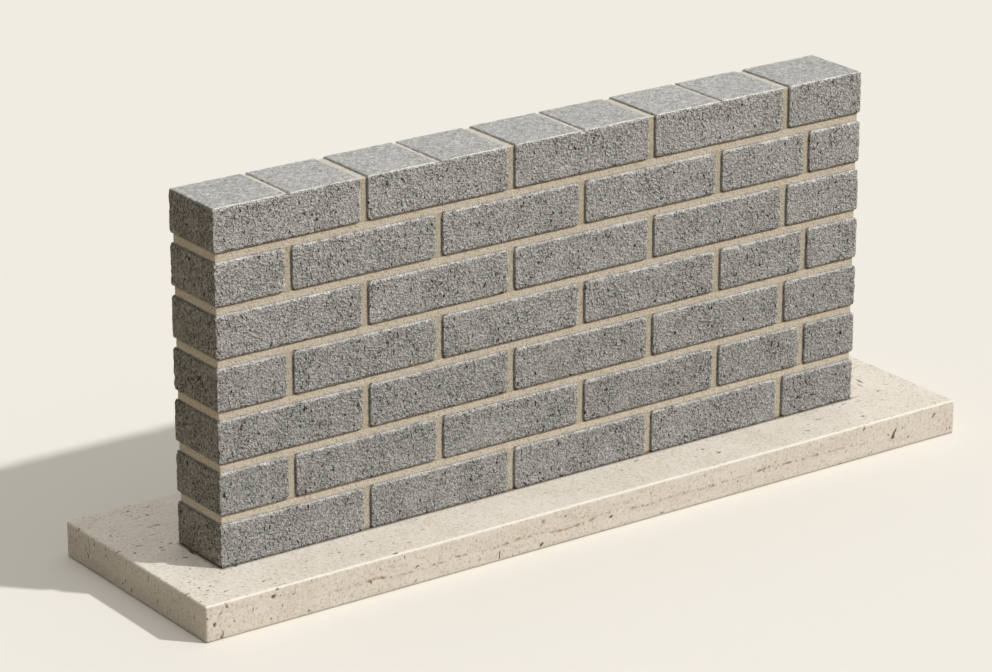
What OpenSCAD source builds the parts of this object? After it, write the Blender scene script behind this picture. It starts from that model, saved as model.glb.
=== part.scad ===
// A short free-standing boundary wall, half a brick thick, laid in stretcher bond
// with raked joints on a honed stone plinth slab. Millimetres throughout.
// X runs along the wall, -Y is the face that is looked at, and Z is up.
// The origin is the middle of the slab's underside.

/* [Brick] */
// Length of a whole brick
brick_length = 220; // [190:1:250]
// Width of a brick, which is the thickness of the wall
brick_width = 105; // [90:1:125]
// Height of a brick
brick_height = 60; // [45:1:80]
// Radius of the four corners of a brick's front and back faces
corner_radius = 4; // [1:0.5:8]
// Radius of the arrises round a brick's front and back faces
arris_radius = 1.5; // [0.5:0.25:2]

/* [Joints] */
// Thickness of the mortar bed between two courses
bed_joint = 10; // [6:1:14]
// Width of the upright mortar joint between two bricks
perpend_joint = 10; // [6:1:14]
// Depth that the mortar is raked back from the faces and ends of the wall
joint_recess = 3; // [2:0.5:6]
// Depth that the mortar lies below the top of the wall
top_recess = 1.5; // [0.5:0.5:4]
// Width of the sham joint cut across the top of each whole brick in the last course
sham_joint_width = 8; // [3:1:10]
// Thickness of the mortar pointed into a sham joint
sham_mortar = 1.5; // [1:0.5:6]

/* [Bond] */
// Number of courses, odd so that the wall starts and ends on a whole brick
course_count = 7; // [3:2:7]
// Number of whole bricks in an odd course
whole_bricks = 4; // [2:1:5]
// Length of the closer that ends an odd course
closer_length = 128; // [100:1:180]
// Length of the bat that ends an even course
end_bat_length = 90; // [60:1:110]

/* [Plinth] */
// Thickness of the slab
slab_thickness = 50; // [30:1:80]
// How far the slab reaches past the left end of the wall
slab_left = 80; // [20:1:150]
// How far the slab reaches past the right end of the wall
slab_right = 115; // [20:1:150]
// How far the slab reaches in front of the wall
slab_front = 90; // [20:1:150]
// How far the slab reaches behind the wall
slab_back = 150; // [20:1:200]
// Radius of the slab's honed arrises
slab_arris = 3; // [1:0.5:6]

/* [Hidden] */
$fn = 48;

brick_colour = "#918d84";
mortar_colour = "#c9b697";
slab_colour = "#ddd2c2";

// The bond: odd courses are whole bricks and a closer. Even courses start with a half
// bat, so that their perpends stand over the middles of the whole bricks below.
brick_pitch = brick_length + perpend_joint;
course_pitch = brick_height + bed_joint;
half_bat_length = (brick_length - perpend_joint) / 2;
half_bat_pitch = half_bat_length + perpend_joint;
wall_length = whole_bricks * brick_pitch + closer_length;
end_bat_start = wall_length - end_bat_length;
cut_brick_start = half_bat_pitch + (whole_bricks - 1) * brick_pitch;
cut_brick_length = end_bat_start - perpend_joint - cut_brick_start;

// The mortar fills the wall's core, short of its faces, ends and top.
core_length = wall_length - 2 * joint_recess;
core_width = brick_width - 2 * joint_recess;

// A sham joint is cut as deep as its mortar and the rake above it.
sham_joint_floor = brick_height - top_recess - sham_mortar;

slab_length = slab_left + wall_length + slab_right;
slab_width = slab_front + brick_width + slab_back;
wall_start = [slab_left - slab_length / 2, slab_front - slab_width / 2, slab_thickness];

function is_odd(course) = course % 2 == 1;

function bricks_in(course) = whole_bricks + (is_odd(course) ? 1 : 2);

// Where a brick starts along its course. Places count from 0 at the left end.
function brick_start(course, place) =
    is_odd(course) ? place * brick_pitch :
    place == 0 ? 0 :
    place <= whole_bricks ? half_bat_pitch + (place - 1) * brick_pitch :
    end_bat_start;

function brick_size(course, place) =
    is_odd(course) ? (place < whole_bricks ? brick_length : closer_length) :
    place == 0 ? half_bat_length :
    place < whole_bricks ? brick_length :
    place == whole_bricks ? cut_brick_length :
    end_bat_length;

function brick_kind(course, place) =
    is_odd(course) ? (place < whole_bricks ? str("stretcher_", place + 1) : "closer") :
    place == 0 ? "half_bat" :
    place < whole_bricks ? str("stretcher_", place) :
    place == whole_bricks ? "cut_brick" :
    "end_bat";

function brick_name(course, place) = str("course_", course, "_", brick_kind(course, place));

// Only the whole bricks of the last course carry a sham joint.
function has_sham_joint(course, place) = course == course_count && place < whole_bricks;

function sham_joint_start(place) =
    brick_start(course_count, place) + (brick_length - sham_joint_width) / 2;

// A rectangle with round corners, its lower left corner at the origin.
module rounded_rectangle(width, height, radius) {
    translate([radius, 0]) square([width - 2 * radius, height]);
    translate([0, radius]) square([width, height - 2 * radius]);
    for (x = [radius, width - radius])
        for (y = [radius, height - radius])
            translate([x, y]) circle(radius);
}

// Carries a profile drawn as seen from the front back through the wall.
module along_y(depth) {
    translate([0, depth, 0]) rotate([90, 0, 0]) linear_extrude(depth) children();
}

// Carries a profile drawn as seen from the end along the wall.
module along_x(length) {
    rotate([90, 0, 90]) linear_extrude(length) children();
}

// A block with one radius at the corners of its front face and another on the
// arrises round that face, made by crossing its front, end and plan profiles.
module rounded_block(length, width, height, corner, arris) {
    intersection() {
        along_y(width) rounded_rectangle(length, height, corner);
        along_x(length) rounded_rectangle(width, height, arris);
        linear_extrude(height) rounded_rectangle(length, width, arris);
    }
}

// Sets its children at a place along a course, on top of the slab or the last bed.
module in_course(course, start) {
    translate(wall_start + [start, 0, (course - 1) * course_pitch]) children();
}

// The slab that the first course stands on.
module plinth_slab() {
    color(slab_colour)
        translate([-slab_length / 2, -slab_width / 2, 0])
            rounded_block(slab_length, slab_width, slab_thickness, slab_arris, slab_arris);
}

// The groove for a sham joint, right across a brick's top.
module sham_groove() {
    translate([0, 0, sham_joint_floor])
        cube([sham_joint_width, brick_width, sham_mortar + top_recess]);
}

// One brick in its place, whole or cut to length.
module brick(course, place) {
    color(brick_colour)
        difference() {
            in_course(course, brick_start(course, place))
                rounded_block(brick_size(course, place), brick_width, brick_height,
                    corner_radius, arris_radius);
            if (has_sham_joint(course, place))
                in_course(course, sham_joint_start(place)) sham_groove();
        }
}

// The level beds of mortar, one between each two courses.
module bed_joints() {
    color(mortar_colour)
        for (course = [1:course_count - 1])
            in_course(course, 0)
                translate([joint_recess, joint_recess, brick_height])
                    cube([core_length, core_width, bed_joint]);
}

// The mortar between two bricks of a course, seen from the front: a strip that
// flares at top and bottom to fill the space beside their round corners.
module perpend_profile(height) {
    difference() {
        translate([-corner_radius, 0]) square([perpend_joint + 2 * corner_radius, height]);
        translate([-brick_length, 0])
            rounded_rectangle(brick_length, brick_height, corner_radius);
        translate([perpend_joint, 0])
            rounded_rectangle(brick_length, brick_height, corner_radius);
    }
}

// The upright mortar joints. Those of the last course stop short of the top.
module perpend_joints() {
    color(mortar_colour)
        for (course = [1:course_count])
            for (place = [0:bricks_in(course) - 2])
                in_course(course, brick_start(course, place) + brick_size(course, place))
                    translate([0, joint_recess, 0])
                        along_y(core_width)
                            perpend_profile(brick_height - (course == course_count ? top_recess : 0));
}

// The mortar pointed into the sham joints, level with that of the real ones.
module sham_joints() {
    color(mortar_colour)
        for (place = [0:whole_bricks - 1])
            in_course(course_count, sham_joint_start(place))
                translate([0, joint_recess, sham_joint_floor])
                    cube([sham_joint_width, core_width, sham_mortar]);
}

plinth_slab();
for (course = [1:course_count])
    for (place = [0:bricks_in(course) - 1])
        brick(course, place);
bed_joints();
perpend_joints();
sham_joints();
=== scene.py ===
"""The looks of a short brick boundary wall on a stone plinth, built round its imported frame."""
import math

import bpy
import numpy as np
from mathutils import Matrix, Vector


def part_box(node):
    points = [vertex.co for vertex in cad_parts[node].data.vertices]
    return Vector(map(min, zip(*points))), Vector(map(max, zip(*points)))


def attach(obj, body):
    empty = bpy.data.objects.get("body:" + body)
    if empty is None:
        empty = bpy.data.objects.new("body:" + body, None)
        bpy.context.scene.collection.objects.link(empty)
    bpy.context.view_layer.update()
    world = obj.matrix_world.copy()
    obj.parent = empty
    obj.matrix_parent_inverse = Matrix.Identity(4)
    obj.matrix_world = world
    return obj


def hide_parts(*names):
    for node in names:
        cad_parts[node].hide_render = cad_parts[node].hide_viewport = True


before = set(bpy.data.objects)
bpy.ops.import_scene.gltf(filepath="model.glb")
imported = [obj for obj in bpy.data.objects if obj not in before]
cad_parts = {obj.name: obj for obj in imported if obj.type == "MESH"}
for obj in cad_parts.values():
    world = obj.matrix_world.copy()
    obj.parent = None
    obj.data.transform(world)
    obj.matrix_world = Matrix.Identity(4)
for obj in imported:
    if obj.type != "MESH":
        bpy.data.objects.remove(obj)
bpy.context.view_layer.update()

# Plinth slab: one piece of pale travertine, sawn to size and honed on every face.
# Its arrises are eased by hand, and the pits along the bedding of the rock are left open.

SLAB_EASE = 0.003
SLAB_GRID = 0.0026
SLAB_GRID_UNDER_WALL = 0.012
UNDER_WALL = 0.01
EASE_STEPS = 3
WELD_DISTANCE = 1e-6


def steps_between(start, end, spacing):
    """Even steps from start to end, both included, about the given spacing apart."""
    return np.linspace(start, end, max(2, round((end - start) / spacing) + 1))


def eased_block(low, high, ease, across, left, right, heights, open_top):
    """A block with round arrises as one band: its plan, a rectangle inset by the ease and pushed
    out along the way each station faces, is carried up a side that starts and ends in a quarter
    round. Strips from front to back close the bottom, and a grid or more strips close the top.
    Gives the points, the way each one faces, triangles, and the end strips with more corners."""
    x0, y0 = low[0] + ease, low[1] + ease
    x1, y1 = high[0] - ease, high[1] - ease
    turn = np.linspace(0, 90, EASE_STEPS + 1)[1:-1]
    corner = np.ones_like(turn)
    inset = np.vstack([
        np.column_stack([across, np.full(len(across), y0)]),
        np.column_stack([corner * x1, corner * y0]),
        np.column_stack([np.full(len(right), x1), right]),
        np.column_stack([corner * x1, corner * y1]),
        np.column_stack([across[::-1], np.full(len(across), y1)]),
        np.column_stack([corner * x0, corner * y1]),
        np.column_stack([np.full(len(left), x0), left[::-1]]),
        np.column_stack([corner * x0, corner * y0]),
    ])
    facing = np.radians(np.concatenate([
        np.full(len(across), -90), turn - 90, np.full(len(right), 0), turn,
        np.full(len(across), 90), turn + 90, np.full(len(left), 180), turn + 180,
    ]))
    outward = np.column_stack([np.cos(facing), np.sin(facing)])
    quarter = np.linspace(0, 90, EASE_STEPS + 1)
    tilt = np.radians(np.concatenate([quarter - 90, np.zeros(len(heights)), quarter]))
    hub = np.concatenate([
        np.full(len(quarter), low[2] + ease), heights, np.full(len(quarter), high[2] - ease)])
    rows, stations = len(tilt), len(inset)
    plan = inset[None] + ease * np.cos(tilt)[:, None, None] * outward[None]
    level = np.broadcast_to((hub + ease * np.sin(tilt))[:, None, None], (rows, stations, 1))
    points = np.concatenate([plan, level], axis=2).reshape(-1, 3)
    lift = np.broadcast_to(np.sin(tilt)[:, None, None], (rows, stations, 1))
    ways = np.concatenate([np.cos(tilt)[:, None, None] * outward[None], lift], axis=2)
    ways = ways.reshape(-1, 3)
    index = np.arange(rows * stations).reshape(rows, stations)
    after = np.roll(index, -1, axis=1)
    quads = [np.stack([index[:-1], after[:-1], after[1:], index[1:]], axis=-1).reshape(-1, 4)]
    strips = []
    for row, upward in ((index[0], False), (index[-1], True)):
        if upward and open_top:
            continue
        cuts = np.cumsum([len(across), len(turn), len(right), len(turn), len(across), len(turn),
                          len(left)])
        front, _, right_side, _, back, _, left_side, _ = np.split(row, cuts)
        back = back[::-1]
        middle = np.stack([front[1:-2], front[2:-1], back[2:-1], back[1:-2]], axis=-1)
        first = np.concatenate([front[:2], back[1::-1], left_side])
        last = np.concatenate([front[-2:], right_side, back[:-3:-1]])
        order = slice(None) if upward else slice(None, None, -1)
        quads.append(middle[:, order])
        strips += [first[order], last[order]]
    if open_top:
        grid_x, grid_y = np.meshgrid(across, left, indexing="ij")
        top = np.stack([grid_x, grid_y, np.full_like(grid_x, high[2])], axis=-1).reshape(-1, 3)
        index = np.arange(len(top)).reshape(grid_x.shape) + len(points)
        quads.append(np.stack(
            [index[:-1, :-1], index[1:, :-1], index[1:, 1:], index[:-1, 1:]],
            axis=-1).reshape(-1, 4))
        points = np.vstack([points, top])
        ways = np.vstack([ways, np.tile([0.0, 0.0, 1.0], (len(top), 1))])
    spots = np.round(points / WELD_DISTANCE).astype(np.int64)
    _, kept, merged = np.unique(spots, axis=0, return_index=True, return_inverse=True)
    merged = merged.ravel()
    quads = merged[np.vstack(quads)]
    triangles = np.vstack([quads[:, [0, 1, 2]], quads[:, [0, 2, 3]]])
    collapsed = (triangles == np.roll(triangles, 1, axis=1)).any(axis=1)
    strips = [merged[strip] for strip in strips]
    strips = [strip[strip != np.roll(strip, 1)] for strip in strips]
    return points[kept], ways[kept], triangles[~collapsed], strips


slab_low, slab_high = (np.array(corner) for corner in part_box("plinth_slab"))
brick_nodes = sorted(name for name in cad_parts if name.startswith("course_"))
brick_boxes = {name: np.array(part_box(name)) for name in brick_nodes}
wall_low = np.min([box[0] for box in brick_boxes.values()], axis=0)
wall_high = np.max([box[1] for box in brick_boxes.values()], axis=0)
slab_across = steps_between(slab_low[0] + SLAB_EASE, slab_high[0] - SLAB_EASE, SLAB_GRID)
slab_depth = np.concatenate([
    steps_between(slab_low[1] + SLAB_EASE, wall_low[1] + UNDER_WALL, SLAB_GRID)[:-1],
    steps_between(wall_low[1] + UNDER_WALL, wall_high[1] - UNDER_WALL, SLAB_GRID_UNDER_WALL)[:-1],
    steps_between(wall_high[1] - UNDER_WALL, slab_high[1] - SLAB_EASE, SLAB_GRID),
])
slab_heights = steps_between(slab_low[2] + SLAB_EASE, slab_high[2] - SLAB_EASE, SLAB_GRID)[1:-1]
slab_points, slab_ways, slab_triangles, slab_strips = eased_block(
    slab_low, slab_high, SLAB_EASE, slab_across, slab_depth, slab_depth, slab_heights, open_top=True)


def scatter(cells, seed):
    """A fixed random fraction for each row of whole numbers: the three numbers are multiplied by
    large odd numbers, added to the seed and folded over themselves twice."""
    mixed = (cells.astype(np.int64) * np.array([73856093, 19349663, 83492791])).sum(axis=-1)
    mixed = (mixed + seed * 40503001) & 0xFFFFFFFF
    mixed = ((mixed ^ (mixed >> 16)) * 73244475) & 0xFFFFFFFF
    mixed = ((mixed ^ (mixed >> 16)) * 73244475) & 0xFFFFFFFF
    return (mixed ^ (mixed >> 16)) / 0xFFFFFFFF


def soft_noise(points, cell, seed):
    """Noise from -1 to 1: the points are turned off the grid's axes, a random number stands at
    each corner of a grid of the given cell, and the corners are blended by 3t^2 - 2t^3."""
    turn = np.array([[0.80, -0.36, 0.48], [0.60, 0.48, -0.64], [0.00, 0.80, 0.60]])
    scaled = points @ turn.T / cell
    base = np.floor(scaled)
    part = scaled - base
    part = part * part * (3 - 2 * part)
    total = np.zeros(len(points))
    for corner in np.ndindex(2, 2, 2):
        weight = np.where(corner, part, 1 - part).prod(axis=1)
        total += weight * scatter(base + corner, seed)
    return 2 * total - 1


SMALLEST_PIT = 0.45
NO_PIT = 1e-9


def pit_depth(points, cell, radius, share, seed):
    """How deep open pits are, from 0 to 1: a share of the cells of a grid hold one pit at a random
    spot with a random part of the radius, as deep as 1 - (distance / radius)^2, and the deepest
    one counts."""
    scaled = points / cell
    base = np.floor(scaled)
    deepest = np.zeros(len(points))
    for step in np.ndindex(3, 3, 3):
        home = base + np.array(step) - 1
        spot = home + np.stack([scatter(home, seed + k) for k in range(3)], axis=1)
        reach = radius * (SMALLEST_PIT + (1 - SMALLEST_PIT) * scatter(home, seed + 3))
        reach = np.where(scatter(home, seed + 4) < share, reach, NO_PIT)
        distance = np.linalg.norm((scaled - spot) * cell, axis=1)
        deepest = np.maximum(deepest, 1 - (distance / reach) ** 2)
    return deepest


# A pit comes out longer along an axis that is squeezed, and shorter along one that is stretched.
LONG_PITS = np.array([0.60, 1.3, 1.3])
TALL_PITS = np.array([1.2, 0.9, 0.7])
SLAB_PIT_RADIUS = 0.0030
SLAB_PIT_DEPTH = 0.0018
SLAB_WAVE_DEPTH = 0.00012
SEAM_END = 0.8
SEAM_FADE = 0.2
FOOT_REACH = 0.004
SQUARE_ON = 0.9
RUBBED_SLOPE = 4
slab_middle = (slab_low + slab_high) / 2
slab_open = np.abs(slab_points[:, 0] - slab_middle[0]) / (slab_high[0] - slab_middle[0])
long_share = 0.05 + 0.13 * slab_open ** 2
tall_share = 0.04 + 0.09 * slab_open ** 2
slab_pits = np.maximum(
    pit_depth(slab_points * LONG_PITS, cell=0.016, radius=SLAB_PIT_RADIUS, share=long_share, seed=11),
    pit_depth(slab_points * TALL_PITS, cell=0.014, radius=SLAB_PIT_RADIUS, share=tall_share, seed=31),
)
slab_seam = np.clip((SEAM_END - slab_open) / SEAM_FADE, 0, 1) * (np.abs(slab_ways[:, 1]) > SQUARE_ON)
slab_waves = SLAB_WAVE_DEPTH * (1 + soft_noise(slab_points, cell=0.03, seed=51))
slab_sink = (SLAB_PIT_DEPTH * slab_pits + slab_waves) * np.clip(1 + slab_ways[:, 2], 0, 1)
slab_points = slab_points - slab_ways * slab_sink[:, None]
# Painted shade: a dark line on the slab's top round the foot of the wall, where the bricks meet it.
from_wall = np.maximum(np.maximum(wall_low - slab_points, slab_points - wall_high), 0)[:, :2]
slab_foot = np.clip(1 - np.hypot(*from_wall.T) / FOOT_REACH, 0, 1) * (slab_ways[:, 2] > SQUARE_ON)
# Painted highlight: the front arris, where the sun falls, is drawn paler.
slab_arris = np.clip(RUBBED_SLOPE * np.minimum(slab_ways[:, 2], -slab_ways[:, 1]), 0, 1)


def linear(code):
    """An sRGB hex colour as linear red, green, blue and alpha: a channel c up to 0.04045 becomes
    c / 12.92, and above that ((c + 0.055) / 1.055)^2.4."""
    channels = np.array([int(code[k:k + 2], 16) for k in (0, 2, 4)]) / 255
    curve = ((channels + 0.055) / 1.055) ** 2.4
    return (*np.where(channels > 0.04045, curve, channels / 12.92).tolist(), 1.0)


def add_node(tree, kind, inputs, stops=(), **settings):
    """Adds a node with its settings and colour stops, and fills its inputs: a socket is linked and
    a plain value is set."""
    node = tree.nodes.new(kind)
    for key, value in settings.items():
        setattr(node, key, value)
    for key, value in inputs.items():
        if isinstance(value, bpy.types.NodeSocket):
            tree.links.new(value, node.inputs[key])
        else:
            node.inputs[key].default_value = value
    for number, (position, code) in enumerate(stops):
        ramp = node.color_ramp.elements
        stop = ramp[number] if number < 2 else ramp.new(position)
        stop.position = position
        stop.color = linear(code)
    return node


def new_material(name):
    """An empty node material of that name, and its tree."""
    material = bpy.data.materials.new(name)
    material.use_nodes = True
    material.node_tree.nodes.clear()
    return material, material.node_tree


# The places of a Mix node's number and colour sockets, which share their names.
UNDER_VALUE = 2
TOP_VALUE = 3
UNDER_COAT = 6
TOP_COAT = 7
COATED = 2
CLOUD = 0.070
FLECK = 0.0034
SPECK = 0.0060
DASH = 0.0115
SEAM_WANDER = 0.100
SEAM_BREAK = 0.010
OPEN_GAIN = 0.05


def honed_travertine():
    """Travertine, honed: a low sheen over cream stone, clouded along its bedding, with brown and pale
    flecks, pits that are more open towards the ends and darker partly in their own brown and partly
    with painted shade, one broken brown seam at mid height, a painted highlight along the front arris
    and a line of painted shade round the foot of the wall.
    The flecks are drawn coarser than most real ones, because finer ones wouldn't show."""
    material, tree = new_material("honed_travertine")
    place = add_node(tree, "ShaderNodeTexCoord", {}).outputs["Object"]
    mark = {label: add_node(tree, "ShaderNodeAttribute", {}, attribute_name=label).outputs["Fac"]
            for label in ("open", "seam", "arris", "pit", "foot")}
    bedding = add_node(tree, "ShaderNodeMapping", {"Vector": place, "Scale": (1, 1, 5)})
    cloud = add_node(tree, "ShaderNodeTexNoise",
                     {"Vector": bedding.outputs[0], "Scale": 1 / CLOUD, "Detail": 5.0,
                      "Roughness": 0.6})
    stone = add_node(tree, "ShaderNodeValToRGB", {"Fac": cloud.outputs["Fac"]},
                     stops=[(0.30, "e4dacb"), (0.50, "ece2d4"), (0.70, "f2ebe0")])
    fleck = add_node(tree, "ShaderNodeTexNoise",
                     {"Vector": place, "Scale": 1 / FLECK, "Detail": 1.5, "Roughness": 0.6})
    fleck_share = add_node(tree, "ShaderNodeMapRange",
                           {"Value": fleck.outputs["Fac"], "From Min": 0.54, "From Max": 0.72,
                            "To Min": 0.0, "To Max": 0.45})
    grain_share = add_node(tree, "ShaderNodeMapRange",
                           {"Value": fleck.outputs["Fac"], "From Min": 0.47, "From Max": 0.32,
                            "To Min": 0.0, "To Max": 0.9})
    drawn_out = add_node(tree, "ShaderNodeMapping", {"Vector": place, "Scale": (1.0, 2.0, 0.6)})
    speck = add_node(tree, "ShaderNodeTexNoise",
                     {"Vector": drawn_out.outputs[0], "Scale": 1 / SPECK, "Detail": 1.0,
                      "Roughness": 0.6, "Distortion": 0.5})
    speck_level = add_node(tree, "ShaderNodeMath",
                           {0: mark["open"], 1: OPEN_GAIN, 2: speck.outputs["Fac"]},
                           operation="MULTIPLY_ADD")
    speck_share = add_node(tree, "ShaderNodeMapRange",
                           {"Value": speck_level.outputs[0], "From Min": 0.745, "From Max": 0.785,
                            "To Min": 0.0, "To Max": 0.8})
    dash = add_node(tree, "ShaderNodeTexNoise",
                    {"Vector": drawn_out.outputs[0], "Scale": 1 / DASH, "Detail": 1.0,
                     "Roughness": 0.5, "Distortion": 0.6})
    dash_level = add_node(tree, "ShaderNodeMath",
                          {0: mark["open"], 1: OPEN_GAIN, 2: dash.outputs["Fac"]},
                          operation="MULTIPLY_ADD")
    dash_share = add_node(tree, "ShaderNodeMapRange",
                          {"Value": dash_level.outputs[0], "From Min": 0.758, "From Max": 0.783,
                           "To Min": 0.0, "To Max": 0.9})
    height = add_node(tree, "ShaderNodeSeparateXYZ", {"Vector": place}).outputs["Z"]
    wander = add_node(tree, "ShaderNodeTexNoise",
                      {"Vector": place, "Scale": 1 / SEAM_WANDER, "Detail": 3.0})
    middle = add_node(tree, "ShaderNodeMapRange",
                      {"Value": wander.outputs["Fac"], "To Min": 0.012, "To Max": 0.034})
    seam_gap = add_node(tree, "ShaderNodeMath", {0: height, 1: middle.outputs[0]},
                        operation="SUBTRACT")
    seam_off = add_node(tree, "ShaderNodeMath", {0: seam_gap.outputs[0]}, operation="ABSOLUTE")
    seam = add_node(tree, "ShaderNodeMapRange",
                    {"Value": seam_off.outputs[0], "From Min": 0.0003, "From Max": 0.0028,
                     "To Min": 0.9, "To Max": 0.0})
    broken = add_node(tree, "ShaderNodeTexNoise",
                      {"Vector": place, "Scale": 1 / SEAM_BREAK, "Detail": 4.0, "Roughness": 0.8})
    broken_share = add_node(tree, "ShaderNodeMapRange",
                            {"Value": broken.outputs["Fac"], "From Min": 0.47, "From Max": 0.60})
    seam_zone = add_node(tree, "ShaderNodeMath", {0: seam.outputs[0], 1: mark["seam"]},
                         operation="MULTIPLY")
    seam_share = add_node(tree, "ShaderNodeMath",
                          {0: seam_zone.outputs[0], 1: broken_share.outputs[0]},
                          operation="MULTIPLY")
    # Painted highlight along the front arris.
    arris_share = add_node(tree, "ShaderNodeMath", {0: mark["arris"], 1: 0.7}, operation="MULTIPLY")
    # The pits are darkened partly in their own brown and partly with painted shade in the hollows.
    pit_share = add_node(tree, "ShaderNodeMapRange",
                         {"Value": mark["pit"], "From Min": 0.05, "From Max": 0.55,
                          "To Min": 0.0, "To Max": 0.95})
    colour = stone.outputs[0]
    for share, code, blend in (
            (fleck_share.outputs[0], "a8916a", "MIX"),
            (grain_share.outputs[0], "f4eee4", "MIX"),
            (speck_share.outputs[0], "66573f", "MIX"),
            (dash_share.outputs[0], "4d4234", "MIX"),
            (seam_share.outputs[0], "8a6c44", "MIX"),
            (arris_share.outputs[0], "f6f1e8", "MIX"),
            (pit_share.outputs[0], "51473a", "MIX"),
            # Painted shade round the foot of the wall.
            (mark["foot"], "8d857a", "MULTIPLY")):
        coat = add_node(tree, "ShaderNodeMix",
                        {"Factor": share, UNDER_COAT: colour, TOP_COAT: linear(code)},
                        data_type="RGBA", blend_type=blend)
        colour = coat.outputs[COATED]
    bump = add_node(tree, "ShaderNodeBump",
                    {"Height": fleck.outputs["Fac"], "Strength": 0.2, "Distance": 0.0008})
    shader = add_node(tree, "ShaderNodeBsdfPrincipled",
                      {"Base Color": colour, "Roughness": 0.55, "Specular IOR Level": 0.35,
                       "Normal": bump.outputs[0]})
    add_node(tree, "ShaderNodeOutputMaterial", {"Surface": shader.outputs[0]})
    return material


def new_piece(name, blocks, material, node, slot, **attributes):
    """Joins blocks of points, triangles and strips into one smooth mesh that stands for a CAD
    node, and gives it a number at each point for every named attribute."""
    starts = np.cumsum([0] + [len(points) for points, _, _ in blocks])
    faces = []
    for start, (_, triangles, strips) in zip(starts, blocks):
        faces += (triangles + start).tolist()
        faces += [(strip + start).tolist() for strip in strips]
    mesh = bpy.data.meshes.new(name)
    mesh.from_pydata(np.vstack([points for points, _, _ in blocks]).tolist(), [], faces)
    mesh.polygons.foreach_set("use_smooth", np.ones(len(faces), bool))
    for label, values in attributes.items():
        layer = mesh.attributes.new(label, "FLOAT", "POINT")
        layer.data.foreach_set("value", np.asarray(values, np.float32))
    mesh.materials.append(material)
    mesh.update()
    piece = bpy.data.objects.new(name, mesh)
    bpy.context.collection.objects.link(piece)
    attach(piece, "root")
    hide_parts(node)


new_piece("honed_plinth_slab", [(slab_points, slab_triangles, slab_strips)], honed_travertine(),
          "plinth_slab", "travertine", pit=slab_pits, open=slab_open, seam=slab_seam,
          arris=slab_arris, foot=slab_foot)

# Bricks: dense grey bricks with rough, open-grained faces and chipped arrises, laid in stretcher
# bond. Whole ones are one size, and the bats and closers at the ends are cut to length. The last
# course shows its smoother, paler bed faces, with a shallow groove across each whole brick.
# A painted highlight runs along their upper arrises, and painted shade darkens their crevices,
# pits, lower arrises, the wall's ends and the lower courses.

BRICK_EASE = 0.0009
BRICK_GRID = 0.0020
# Along the joints the bricks are worn back, so the joints show wider than they were laid.
JOINT_WEAR = np.array([0.0008, 0.0, 0.0013])
LEDGE = 0.004
GROOVE_REACH = 0.012
GROOVE_WALL = 0.0003
BRICK_SEED = 500


def soften_corners(points, low, high, radii):
    """Rounds the four corners of a brick's face, left to right and bottom to top: inside a corner
    square a point's offset from the square's inner corner is scaled by its longer part over its
    length, which turns the square's outline into a quarter circle."""
    moved = points.copy()
    for radius, (side, level) in zip(radii, np.ndindex(2, 2)):
        signs = np.array([2 * side - 1, 2 * level - 1])
        edge = np.array([(low, high)[side][0], (low, high)[level][2]])
        offset = (points[:, [0, 2]] - (edge - signs * radius)) * signs
        inside = (offset > 0).all(axis=1)
        offset = offset[inside]
        offset *= (offset.max(axis=1) / np.linalg.norm(offset, axis=1))[:, None]
        moved[np.ix_(inside, [0, 2])] = edge - signs * radius + offset * signs
    return moved


GRIT = 0.0027
CLUSTER = 0.035
FOLD = 0.0060
HOLE = 0.0046
STREAK = 0.0060
GRIT_RELIEF = 0.0066


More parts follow.
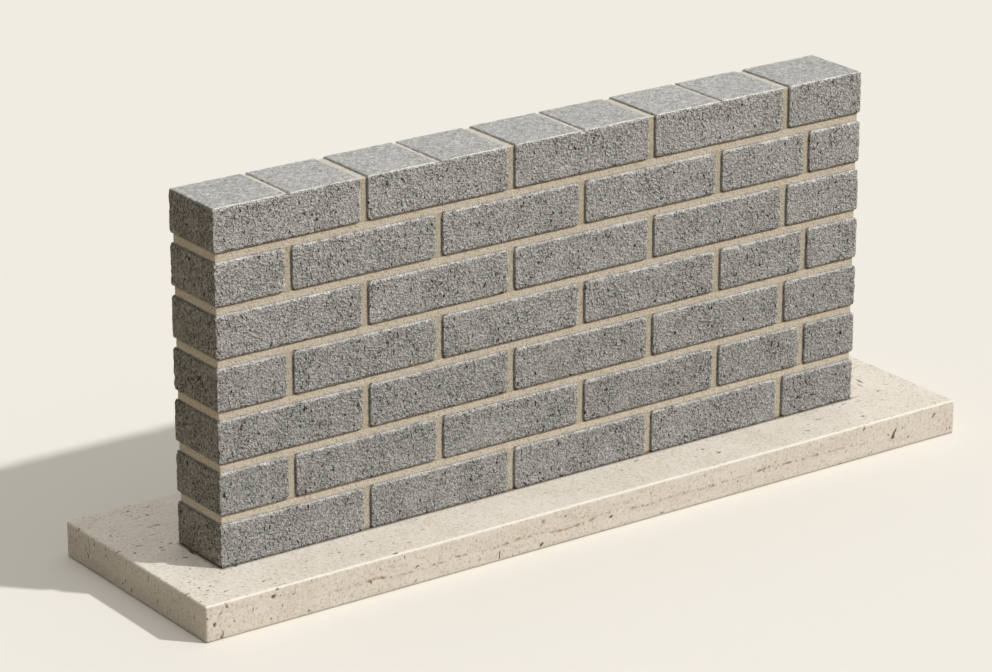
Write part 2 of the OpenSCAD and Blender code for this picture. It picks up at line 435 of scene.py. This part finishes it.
def rough_brick():
    """Dense grey brick with an open grain: a dull, matt, mid grey face, rough all over from fine
    grains with crevices between them, darkened partly by dust and partly with painted shade, and
    pits in clusters, darkened with painted shade. Its upper arrises, and more weakly its right ones,
    carry a painted highlight, its faces at the wall's ends are darker and browner as painted shade,
    and its bed faces are smoother and paler.
    The grit is drawn coarser and deeper than the real one, because finer grit wouldn't show."""
    material, tree = new_material("rough_grey_brick")
    place = add_node(tree, "ShaderNodeTexCoord", {}).outputs["Object"]
    mark = {label: add_node(tree, "ShaderNodeAttribute", {}, attribute_name=label).outputs["Fac"]
            for label in ("bed", "worn", "cut", "tone")}
    grain = add_node(tree, "ShaderNodeTexNoise",
                     {"Vector": place, "Scale": 1 / GRIT, "Detail": 1.5, "Roughness": 0.55})
    cluster = add_node(tree, "ShaderNodeTexNoise",
                       {"Vector": place, "Scale": 1 / CLUSTER, "Detail": 1.0})
    openness = add_node(tree, "ShaderNodeMapRange",
                        {"Value": cluster.outputs["Fac"], "From Min": 0.35, "From Max": 0.65,
                         "To Min": 0.75, "To Max": 1.3})
    grit = add_node(tree, "ShaderNodeMix",
                    {"Factor": openness.outputs[0], UNDER_VALUE: 0.5, TOP_VALUE: grain.outputs["Fac"]},
                    clamp_factor=False)
    paste = add_node(tree, "ShaderNodeValToRGB", {"Fac": grit.outputs[0]},
                     stops=[(0.30, "a09f9b"), (0.50, "c0bfbd"), (0.70, "dedddc")])
    fold = add_node(tree, "ShaderNodeTexNoise",
                    {"Vector": place, "Scale": 1 / FOLD, "Detail": 1.0, "Roughness": 0.5})
    fold_off = add_node(tree, "ShaderNodeMath", {0: fold.outputs["Fac"], 1: 0.5},
                        operation="SUBTRACT")
    fold_gap = add_node(tree, "ShaderNodeMath", {0: fold_off.outputs[0]}, operation="ABSOLUTE")
    crevice = add_node(tree, "ShaderNodeMapRange",
                       {"Value": fold_gap.outputs[0], "From Min": 0.0, "From Max": 0.04,
                        "To Min": 1.0, "To Max": 0.0})
    # The crevices are darkened partly as dust in them and partly as painted shade.
    crevice_share = add_node(tree, "ShaderNodeMath", {0: crevice.outputs[0], 1: 0.35},
                             operation="MULTIPLY")
    upright = add_node(tree, "ShaderNodeMapping", {"Vector": place, "Scale": (1.4, 1.4, 0.8)})
    hole = add_node(tree, "ShaderNodeTexNoise",
                    {"Vector": upright.outputs[0], "Scale": 1 / HOLE, "Detail": 1.0,
                     "Roughness": 0.6, "Distortion": 0.8})
    hole_level = add_node(tree, "ShaderNodeMath",
                          {0: cluster.outputs["Fac"], 1: 0.12, 2: hole.outputs["Fac"]},
                          operation="MULTIPLY_ADD")
    # The pits are drawn near black: painted shade in the hollows, which the bump alone doesn't cast.
    hole_share = add_node(tree, "ShaderNodeMapRange",
                          {"Value": hole_level.outputs[0], "From Min": 0.703, "From Max": 0.743,
                           "To Min": 0.0, "To Max": 0.95})
    streak = add_node(tree, "ShaderNodeTexNoise",
                      {"Vector": place, "Scale": 1 / STREAK, "Detail": 3.0, "Roughness": 0.65,
                       "Distortion": 1.2})
    bed_colour = add_node(tree, "ShaderNodeValToRGB", {"Fac": streak.outputs["Fac"]},
                          stops=[(0.32, "8d8c88"), (0.50, "b1b0ad"), (0.68, "d6d5d1")])
    pale_share = add_node(tree, "ShaderNodeMapRange",
                          {"Value": hole.outputs["Fac"], "From Min": 0.32, "From Max": 0.28,
                           "To Min": 0.0, "To Max": 0.8})
    # Painted highlight on the upper and right arrises.
    worn_share = add_node(tree, "ShaderNodeMath", {0: mark["worn"], 1: 0.95}, operation="MULTIPLY")
    # Painted shade: the faces at the wall's ends and the ledges beside them are drawn darker and
    # browner.
    cut_tint = add_node(tree, "ShaderNodeValToRGB", {"Fac": grit.outputs[0]},
                        stops=[(0.35, "ccc7ba"), (0.60, "f7f3e6")])
    colour = paste.outputs[0]
    # Coats: painted shade in crevices and pits, the beds' own paler colour, pale specks, a painted
    # highlight on the arrises and painted shade on the wall's ends.
    for share, tint, blend in (
            (crevice_share.outputs[0], linear("4a463d"), "MIX"),
            (hole_share.outputs[0], linear("332e26"), "MIX"),
            (mark["bed"], bed_colour.outputs[0], "MIX"),
            (pale_share.outputs[0], linear("ecebe6"), "MIX"),
            (worn_share.outputs[0], linear("f1efe9"), "MIX"),
            (mark["cut"], cut_tint.outputs[0], "MULTIPLY")):
        coat = add_node(tree, "ShaderNodeMix", {"Factor": share, UNDER_COAT: colour, TOP_COAT: tint},
                        data_type="RGBA", blend_type=blend)
        colour = coat.outputs[COATED]
    toned = add_node(tree, "ShaderNodeVectorMath", {0: colour, "Scale": mark["tone"]},
                     operation="SCALE")
    open_grain = add_node(tree, "ShaderNodeMath",
                          {0: crevice.outputs[0], 1: -0.12, 2: grit.outputs[0]},
                          operation="MULTIPLY_ADD")
    relief = add_node(tree, "ShaderNodeMath",
                      {0: hole_share.outputs[0], 1: -0.4, 2: open_grain.outputs[0]},
                      operation="MULTIPLY_ADD")
    strength = add_node(tree, "ShaderNodeMapRange",
                        {"Value": mark["bed"], "To Min": 1.0, "To Max": 0.3})
    bump = add_node(tree, "ShaderNodeBump",
                    {"Height": relief.outputs[0], "Strength": strength.outputs[0],
                     "Distance": GRIT_RELIEF})
    shader = add_node(tree, "ShaderNodeBsdfPrincipled",
                      {"Base Color": toned.outputs[0], "Roughness": 0.92,
                       "Specular IOR Level": 0.2, "Normal": bump.outputs[0]})
    add_node(tree, "ShaderNodeOutputMaterial", {"Surface": shader.outputs[0]})
    return material


sham_low, sham_high = (np.array(corner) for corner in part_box("sham_joints"))
sham_bricks = [name for name in brick_nodes
               if "stretcher" in name and brick_boxes[name][1][2] > wall_high[2] - BRICK_GRID]
sham_centres = {name: brick_boxes[name][:, 0].mean() for name in sham_bricks}
sham_half = min(sham_centres.values()) - sham_low[0]
worn_boxes = {}
for name, (low, high) in brick_boxes.items():
    worn_boxes[name] = np.array([low + JOINT_WEAR * (low > wall_low + BRICK_GRID),
                                 high - JOINT_WEAR * (high < wall_high - BRICK_GRID)])

BED_SLOPE = 2.2
BED_START = 0.9
BED_RAGGED = 0.35
ARRIS_ZONE = 0.004
ARRIS_WEAR = 0.0025
TOP_ARRIS_WEAR = 0.0026
SIDE_WEAR = 0.7
WORN_START = 1.2
WORN_RAGGED = 0.7
CHIP_SLOPE = 1.5
CHIP_START = 0.25
CHIP_REACH = 0.0026
CHIP_DEPTH = 0.0018
END_CHIPS = 1.5
FACE_SINK = 0.00022
# The depth, length and seed of the waves in a brick's face.
FACE_WAVES = ((0.00015, 0.050, 61), (0.00030, 0.011, 62), (0.00032, 0.0046, 63))
BRICK_PITS = np.array([1.3, 1.0, 0.7])
BRICK_PIT_DEPTH = 0.0012
SMOOTH_SHARE = 0.3
CORNER_RADII = (0.0045, 0.0070)
END_CORNER = 0.0042
TOP_CORNER = 0.0030
LEANING = 0.5
FACING = 0.7
BRICK_TONES = (0.97, 1.03)
CUT_TONE = 0.91
FOOT_TONE = 0.84
DRY_GAIN = 0.21
LEDGE_TONE = 0.6
WORN_GAIN = 0.12
UNDER_ARRIS = 0.0016
UNDER_TONE = 0.55
brick_material = rough_brick()
for number, name in enumerate(brick_nodes):
    low, high = worn_boxes[name]
    draw = np.random.default_rng(BRICK_SEED + number)
    at_left = low[0] < wall_low[0] + BRICK_GRID
    at_right = high[0] > wall_high[0] - BRICK_GRID
    on_top = high[2] > wall_high[2] - BRICK_GRID
    across = steps_between(low[0] + BRICK_EASE, high[0] - BRICK_EASE, BRICK_GRID)
    if name in sham_bricks:
        groove = sham_centres[name] + np.array([-sham_half, sham_half])
        across = np.concatenate([
            steps_between(across[0], groove[0] - GROOVE_WALL, BRICK_GRID),
            steps_between(groove[0] + GROOVE_WALL, groove[1] - GROOVE_WALL, BRICK_GRID),
            steps_between(groove[1] + GROOVE_WALL, across[-1], BRICK_GRID),
        ])
    depth = steps_between(low[1] + BRICK_EASE, high[1] - BRICK_EASE, BRICK_GRID)
    left = depth if at_left or on_top else depth[[0, -1]]
    right = depth if at_right or on_top else depth[[0, -1]]
    heights = steps_between(low[2] + BRICK_EASE, high[2] - BRICK_EASE, BRICK_GRID)[1:-1]
    points, ways, triangles, strips = eased_block(
        low, high, BRICK_EASE, across, left, right, heights, on_top)
    ragged = soft_noise(points, cell=0.005, seed=60)
    bed = np.clip(BED_SLOPE * ways[:, 2] - BED_START + BED_RAGGED * ragged, 0, 1) * on_top
    to_arris = np.sort(np.hstack([points - low, high - points]), axis=1)[:, 1]
    to_wall_end = np.minimum(points[:, 0] - wall_low[0], wall_high[0] - points[:, 0])
    by_face = np.minimum(points[:, 1] - low[1], high[1] - points[:, 1]) < ARRIS_ZONE
    # Painted highlight along the upper arrises of the faces and, weaker, along the right arrises,
    # where the sun falls.
    wear = np.where(by_face & (high[0] - points[:, 0] < ARRIS_ZONE), SIDE_WEAR, 0)
    wear[by_face & (high[2] - points[:, 2] < ARRIS_ZONE)] = 1
    reach = TOP_ARRIS_WEAR if on_top else ARRIS_WEAR
    worn = wear * np.clip(WORN_START - to_arris / reach + WORN_RAGGED * ragged, 0, 1)
    chips = np.clip(CHIP_SLOPE * soft_noise(points, cell=0.007, seed=64) - CHIP_START, 0, 1)
    chips *= np.exp(-to_arris / CHIP_REACH) * np.where(to_wall_end < LEDGE, END_CHIPS, 1)
    waves = sum((size * soft_noise(points, cell, seed) for size, cell, seed in FACE_WAVES), FACE_SINK)
    pits = pit_depth(points * BRICK_PITS, cell=0.015, radius=0.0034, share=0.38, seed=71)
    rough = np.clip(waves, 0, None) + BRICK_PIT_DEPTH * pits + CHIP_DEPTH * chips
    buried = ((ways[:, 0] < -LEANING) & (not at_left)) | ((ways[:, 0] > LEANING) & (not at_right))
    rough *= np.where(buried, SMOOTH_SHARE, np.hypot(ways[:, 0], ways[:, 1]) + SMOOTH_SHARE * bed)
    radii = draw.uniform(*CORNER_RADII, (2, 2))
    if at_left:
        radii[0] = END_CORNER
    if at_right:
        radii[1] = END_CORNER
    if on_top:
        radii[:, 1] = TOP_CORNER
    points = soften_corners(points, low, high, radii.ravel()) - ways * rough[:, None]
    if name in sham_bricks:
        inside = np.abs(points[:, 0] - sham_centres[name]) < sham_half
        share = np.clip(1 - (high[2] - points[:, 2]) / GROOVE_REACH, 0, 1)
        points[:, 2] -= np.where(inside, (high[2] - sham_low[2]) * share, 0)
    # Painted shade on the end faces and the top ledges at the ends of the wall.
    ledge = (ways[:, 2] > LEANING) & (to_wall_end < LEDGE) & (not on_top)
    cut = ledge | ((ways[:, 0] < -FACING) & at_left) | ((ways[:, 0] > FACING) & at_right)
    # Painted shade: the lower courses are drawn darker and the higher ones paler, on top of each
    # brick's own random tone.
    dry = (low[2] - wall_low[2]) / (wall_high[2] - wall_low[2])
    tone = draw.uniform(*BRICK_TONES) * np.where(cut, CUT_TONE, FOOT_TONE + DRY_GAIN * dry)
    # Painted shade: the ledges at the wall's ends are darker still.
    tone[ledge] *= LEDGE_TONE
    # The painted highlight also lifts the tone along those arrises.
    tone *= 1 + WORN_GAIN * worn * (not on_top)
    # Painted shade: a dark line along the lower arris of each face.
    tone[by_face & (points[:, 2] - low[2] < UNDER_ARRIS)] *= UNDER_TONE
    new_piece("rough_" + name, [(points, triangles, strips)], brick_material, name, "brick",
              bed=bed, worn=worn, cut=cut, tone=tone)

# Bed joints: level beds of sand and lime mortar between the courses, raked back from the faces
# and ends of the wall with a jointer while they were green.

JOINT_EASE = 0.0014
MORTAR_GRID = 0.0030
MORTAR_SINK = 0.0002
STAIN_REACH = 0.0024
SAND = 0.0028


def sandy_mortar(name, stops):
    """Sand and lime mortar, raked: a dull buff ground, speckled with brown and pale sand, bleached
    to a pale grey cream where it lies open to the sky, and darkened with painted shade in the corner
    beside a brick. The sand is drawn coarser than the real one, because finer sand wouldn't show."""
    material, tree = new_material(name)
    place = add_node(tree, "ShaderNodeTexCoord", {}).outputs["Object"]
    mark = {label: add_node(tree, "ShaderNodeAttribute", {}, attribute_name=label).outputs["Fac"]
            for label in ("bleach", "stain")}
    sand = add_node(tree, "ShaderNodeTexNoise",
                    {"Vector": place, "Scale": 1 / SAND, "Detail": 2.0, "Roughness": 0.7})
    ground = add_node(tree, "ShaderNodeValToRGB", {"Fac": sand.outputs["Fac"]}, stops=stops)
    colour = ground.outputs[0]
    # Painted shade in the corner beside a brick.
    for label, code, blend in (("bleach", "dcd7cd", "MIX"), ("stain", "6c665d", "MULTIPLY")):
        coat = add_node(tree, "ShaderNodeMix",
                        {"Factor": mark[label], UNDER_COAT: colour, TOP_COAT: linear(code)},
                        data_type="RGBA", blend_type=blend)
        colour = coat.outputs[COATED]
    bump = add_node(tree, "ShaderNodeBump",
                    {"Height": sand.outputs["Fac"], "Strength": 0.6, "Distance": 0.0020})
    shader = add_node(tree, "ShaderNodeBsdfPrincipled",
                      {"Base Color": colour, "Roughness": 0.95, "Specular IOR Level": 0.15,
                       "Normal": bump.outputs[0]})
    add_node(tree, "ShaderNodeOutputMaterial", {"Surface": shader.outputs[0]})
    return material


def mortar_block(low, high, ease, depth, open_top=False, flare=0.0, down=0.0, up=0.0):
    """A strip of mortar with a slightly uneven raked surface: its block is sunk by soft noise, but
    not where it meets a bed face, and its sides spread by flare - sqrt(flare^2 - (flare - d)^2)
    at a distance d from its top or bottom, to fill the space beside round corners. It reaches down
    and up into the mortar beside it. A row and a column of points bound its painted shade."""
    across = steps_between(low[0] + ease, high[0] - ease, MORTAR_GRID)
    across = np.sort(np.append(across, high[0] - STAIN_REACH))
    heights = steps_between(low[2] + ease, high[2] - ease, MORTAR_GRID)[1:-1]
    heights = np.sort(np.append(heights, high[2] - STAIN_REACH))
    heights = heights[heights > low[2] + ease]
    points, ways, triangles, strips = eased_block(
        low - [0, 0, down], high + [0, 0, up], ease, across, depth, depth, heights, open_top)
    sink = (MORTAR_SINK * (1 + soft_noise(points, cell=0.012, seed=81))
            + MORTAR_SINK * (1 + soft_noise(points, cell=0.005, seed=82)))
    points = points - ways * [1, 1, 1 if open_top else 0] * sink[:, None]
    near_end = np.minimum(points[:, 2] - low[2], high[2] - points[:, 2])
    short = np.clip(flare - near_end, 0, flare)
    spread = flare - np.sqrt(flare ** 2 - short ** 2)
    side = (points[:, 0] - (low[0] + high[0]) / 2) / ((high[0] - low[0]) / 2)
    points[:, 0] += side * spread
    return points, triangles, strips


mortar_material = sandy_mortar(
    "sandy_lime_mortar", [(0.28, "a79982"), (0.46, "d7cab6"), (0.72, "e6ddcf")])
bed_low, bed_high = (np.array(corner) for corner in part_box("bed_joints"))
course_feet = sorted({round(float(box[0][2]), 5) for box in worn_boxes.values()})
course_tops = sorted({round(float(box[1][2]), 5) for box in worn_boxes.values()})
bed_depth = steps_between(bed_low[1] + JOINT_EASE, bed_high[1] - JOINT_EASE, MORTAR_GRID)
beds = []
bed_stains = []
for under, over in zip(course_tops[:-1], course_feet[1:]):
    block = mortar_block(np.array([*bed_low[:2], under]), np.array([*bed_high[:2], over]),
                         JOINT_EASE, bed_depth)
    # Painted shade under each course's bricks, left out at the wall's left end.
    stain = np.clip(1 - (over - block[0][:, 2]) / STAIN_REACH, 0, 1)
    beds.append(block)
    bed_stains.append(stain * (block[0][:, 0] > bed_low[0] + LEDGE))
new_piece("raked_bed_joints", beds, mortar_material, "bed_joints", "mortar",
          stain=np.concatenate(bed_stains))

# Perpends: the upright joints, in sand and lime mortar that is buttered on the ends of the bricks
# before they are laid, and raked with the beds. Their mortar is drawn darker and greyer than the
# beds', as painted shade in the narrow joints. Those of the last course stop a little short of the
# top.

PERPEND_FLARE = 0.0062
PERPEND_BITE = 0.0006
PERPEND_OVERLAP = 0.0020
BLEACH_REACH = 0.0015
BLEACH_SHARE = 0.8
# Painted shade: the perpends' mortar is drawn darker and greyer than the beds'.
perpend_material = sandy_mortar(
    "washed_lime_mortar", [(0.28, "978a74"), (0.46, "c2b7a3"), (0.72, "cfc6b7")])
perpend_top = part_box("perpend_joints")[1][2]
perpends = []
perpend_stains = []
for foot, top in zip(course_feet, course_tops):
    course = sorted((box for box in worn_boxes.values() if abs(box[0][2] - foot) < BRICK_GRID),
                    key=lambda box: box[0][0])
    open_top = top > perpend_top
    on_slab = foot < wall_low[2] + BRICK_GRID
    for before, after in zip(course[:-1], course[1:]):
        low = np.array([before[1][0] - PERPEND_BITE, bed_low[1], foot])
        high = np.array([after[0][0] + PERPEND_BITE, bed_high[1], min(top, perpend_top)])
        block = mortar_block(
            low, high, JOINT_EASE, bed_depth if open_top else bed_depth[[0, -1]], open_top,
            PERPEND_FLARE, down=PERPEND_OVERLAP * (not on_slab), up=PERPEND_OVERLAP * (not open_top))
        perpends.append(block)
        # Painted shade beside the brick on the right of each perpend.
        perpend_stains.append(np.clip(1 - (high[0] - block[0][:, 0]) / STAIN_REACH, 0, 1))
perpend_heights = np.concatenate([points[:, 2] for points, _, _ in perpends])
perpend_bleach = BLEACH_SHARE * np.clip(1 - (perpend_top - perpend_heights) / BLEACH_REACH, 0, 1)
new_piece("raked_perpend_joints", perpends, perpend_material, "perpend_joints", "mortar",
          bleach=perpend_bleach, stain=np.concatenate(perpend_stains))

# Sham joints: strips of the bed mortar, pointed into the shallow grooves across the top bricks
# and struck off just below their faces.

SHAM_EASE = 0.0005
sham_depth = steps_between(sham_low[1] + SHAM_EASE, sham_high[1] - SHAM_EASE, MORTAR_GRID)
shams = [
    mortar_block(np.array([centre - sham_half, sham_low[1], sham_low[2]]),
                 np.array([centre + sham_half, sham_high[1], sham_high[2]]),
                 SHAM_EASE, sham_depth, open_top=True)
    for centre in sham_centres.values()
]
sham_heights = np.concatenate([points[:, 2] for points, _, _ in shams])
sham_bleach = BLEACH_SHARE * np.clip(1 - (sham_high[2] - sham_heights) / BLEACH_REACH, 0, 1)
new_piece("pointed_sham_joints", shams, mortar_material, "sham_joints", "mortar",
          bleach=sham_bleach)

# Floor, light and camera: a plain pale floor, a soft sun from the front right and a wide soft
# light overhead, seen from the left and a little above.

FLOOR_REACH = 30.0
BACKDROP = "f1ede4"


def seen_rays(tree):
    """1 for what the camera sees, straight or by way of metal or glass, and 0 for other light:
    the largest of three of a ray's marks."""
    rays = add_node(tree, "ShaderNodeLightPath", {})
    seen = rays.outputs["Is Camera Ray"]
    for kind in ("Is Glossy Ray", "Is Transmission Ray"):
        larger = add_node(tree, "ShaderNodeMath", {0: seen, 1: rays.outputs[kind]},
                          operation="MAXIMUM")
        seen = larger.outputs[0]
    return seen


floor_material, floor_tree = new_material("plain_pale_floor")
floor_colour = add_node(floor_tree, "ShaderNodeMix",
                        {"Factor": seen_rays(floor_tree), UNDER_COAT: linear("b4ab9a"),
                         TOP_COAT: linear(BACKDROP)}, data_type="RGBA")
floor_shader = add_node(floor_tree, "ShaderNodeBsdfPrincipled",
                        {"Base Color": floor_colour.outputs[COATED], "Roughness": 0.9,
                         "Specular IOR Level": 0.1})
add_node(floor_tree, "ShaderNodeOutputMaterial", {"Surface": floor_shader.outputs[0]})
floor_mesh = bpy.data.meshes.new("floor")
floor_mesh.from_pydata(
    [(-FLOOR_REACH, -FLOOR_REACH, 0), (FLOOR_REACH, -FLOOR_REACH, 0),
     (FLOOR_REACH, FLOOR_REACH, 0), (-FLOOR_REACH, FLOOR_REACH, 0)], [], [(0, 1, 2, 3)])
floor_mesh.materials.append(floor_material)
floor = bpy.data.objects.new("floor", floor_mesh)
bpy.context.collection.objects.link(floor)

SUN_ELEVATION = math.radians(39)
SUN_BEARING = math.radians(42.9)
sun_data = bpy.data.lights.new("sun", "SUN")
sun_data.energy = 2.4
sun_data.angle = math.radians(2.0)
sun = bpy.data.objects.new("sun", sun_data)
sun.rotation_euler = (math.pi / 2 - SUN_ELEVATION, 0, SUN_BEARING)
bpy.context.collection.objects.link(sun)

SKY_LEVEL = 1.04
SKY_TILT = 0.36
world = bpy.data.worlds.new("soft_overhead_light")
bpy.context.scene.world = world
world.use_nodes = True
sky_tree = world.node_tree
sky_tree.nodes.clear()
toward = add_node(sky_tree, "ShaderNodeTexCoord", {}).outputs["Generated"]
sides = add_node(sky_tree, "ShaderNodeSeparateXYZ", {"Vector": toward})
above = add_node(sky_tree, "ShaderNodeMath", {0: sides.outputs["Z"], 1: 0.0}, operation="MAXIMUM")
squared = add_node(sky_tree, "ShaderNodeMath", {0: above.outputs[0], 1: 2.0}, operation="POWER")
tilted = add_node(sky_tree, "ShaderNodeMath", {0: sides.outputs["X"], 1: SKY_TILT, 2: SKY_LEVEL},
                  operation="MULTIPLY_ADD")
sky_level = add_node(sky_tree, "ShaderNodeMath", {0: squared.outputs[0], 1: tilted.outputs[0]},
                     operation="MULTIPLY")
sky = add_node(sky_tree, "ShaderNodeBackground",
               {"Color": linear("fffdf9"), "Strength": sky_level.outputs[0]})
backdrop = add_node(sky_tree, "ShaderNodeBackground", {"Color": linear(BACKDROP), "Strength": 1.0})
light = add_node(sky_tree, "ShaderNodeMixShader",
                 {0: seen_rays(sky_tree), 1: sky.outputs[0], 2: backdrop.outputs[0]})
add_node(sky_tree, "ShaderNodeOutputWorld", {"Surface": light.outputs[0]})

CAMERA_AZIMUTH = math.radians(-35.71)
CAMERA_ELEVATION = math.radians(19.87)
CAMERA_DISTANCE = 5.2
CAMERA_LENS = 144.1
AIM_ALONG_WALL = 0.429
AIM_UP_WALL = 0.2242
camera_target = np.array([wall_low[0] + AIM_ALONG_WALL, wall_low[1], slab_high[2] + AIM_UP_WALL])
camera_way = np.array([
    math.sin(CAMERA_AZIMUTH) * math.cos(CAMERA_ELEVATION),
    -math.cos(CAMERA_AZIMUTH) * math.cos(CAMERA_ELEVATION),
    math.sin(CAMERA_ELEVATION),
])
camera_data = bpy.data.cameras.new("camera")
camera_data.lens = CAMERA_LENS
camera_data.sensor_width = 36.0
camera_data.clip_end = 100.0
camera = bpy.data.objects.new("camera", camera_data)
camera.location = camera_target + camera_way * CAMERA_DISTANCE
camera.rotation_euler = (math.pi / 2 - CAMERA_ELEVATION, 0, CAMERA_AZIMUTH)
bpy.context.collection.objects.link(camera)
bpy.context.scene.camera = camera
bpy.context.scene.view_settings.view_transform = "Standard"
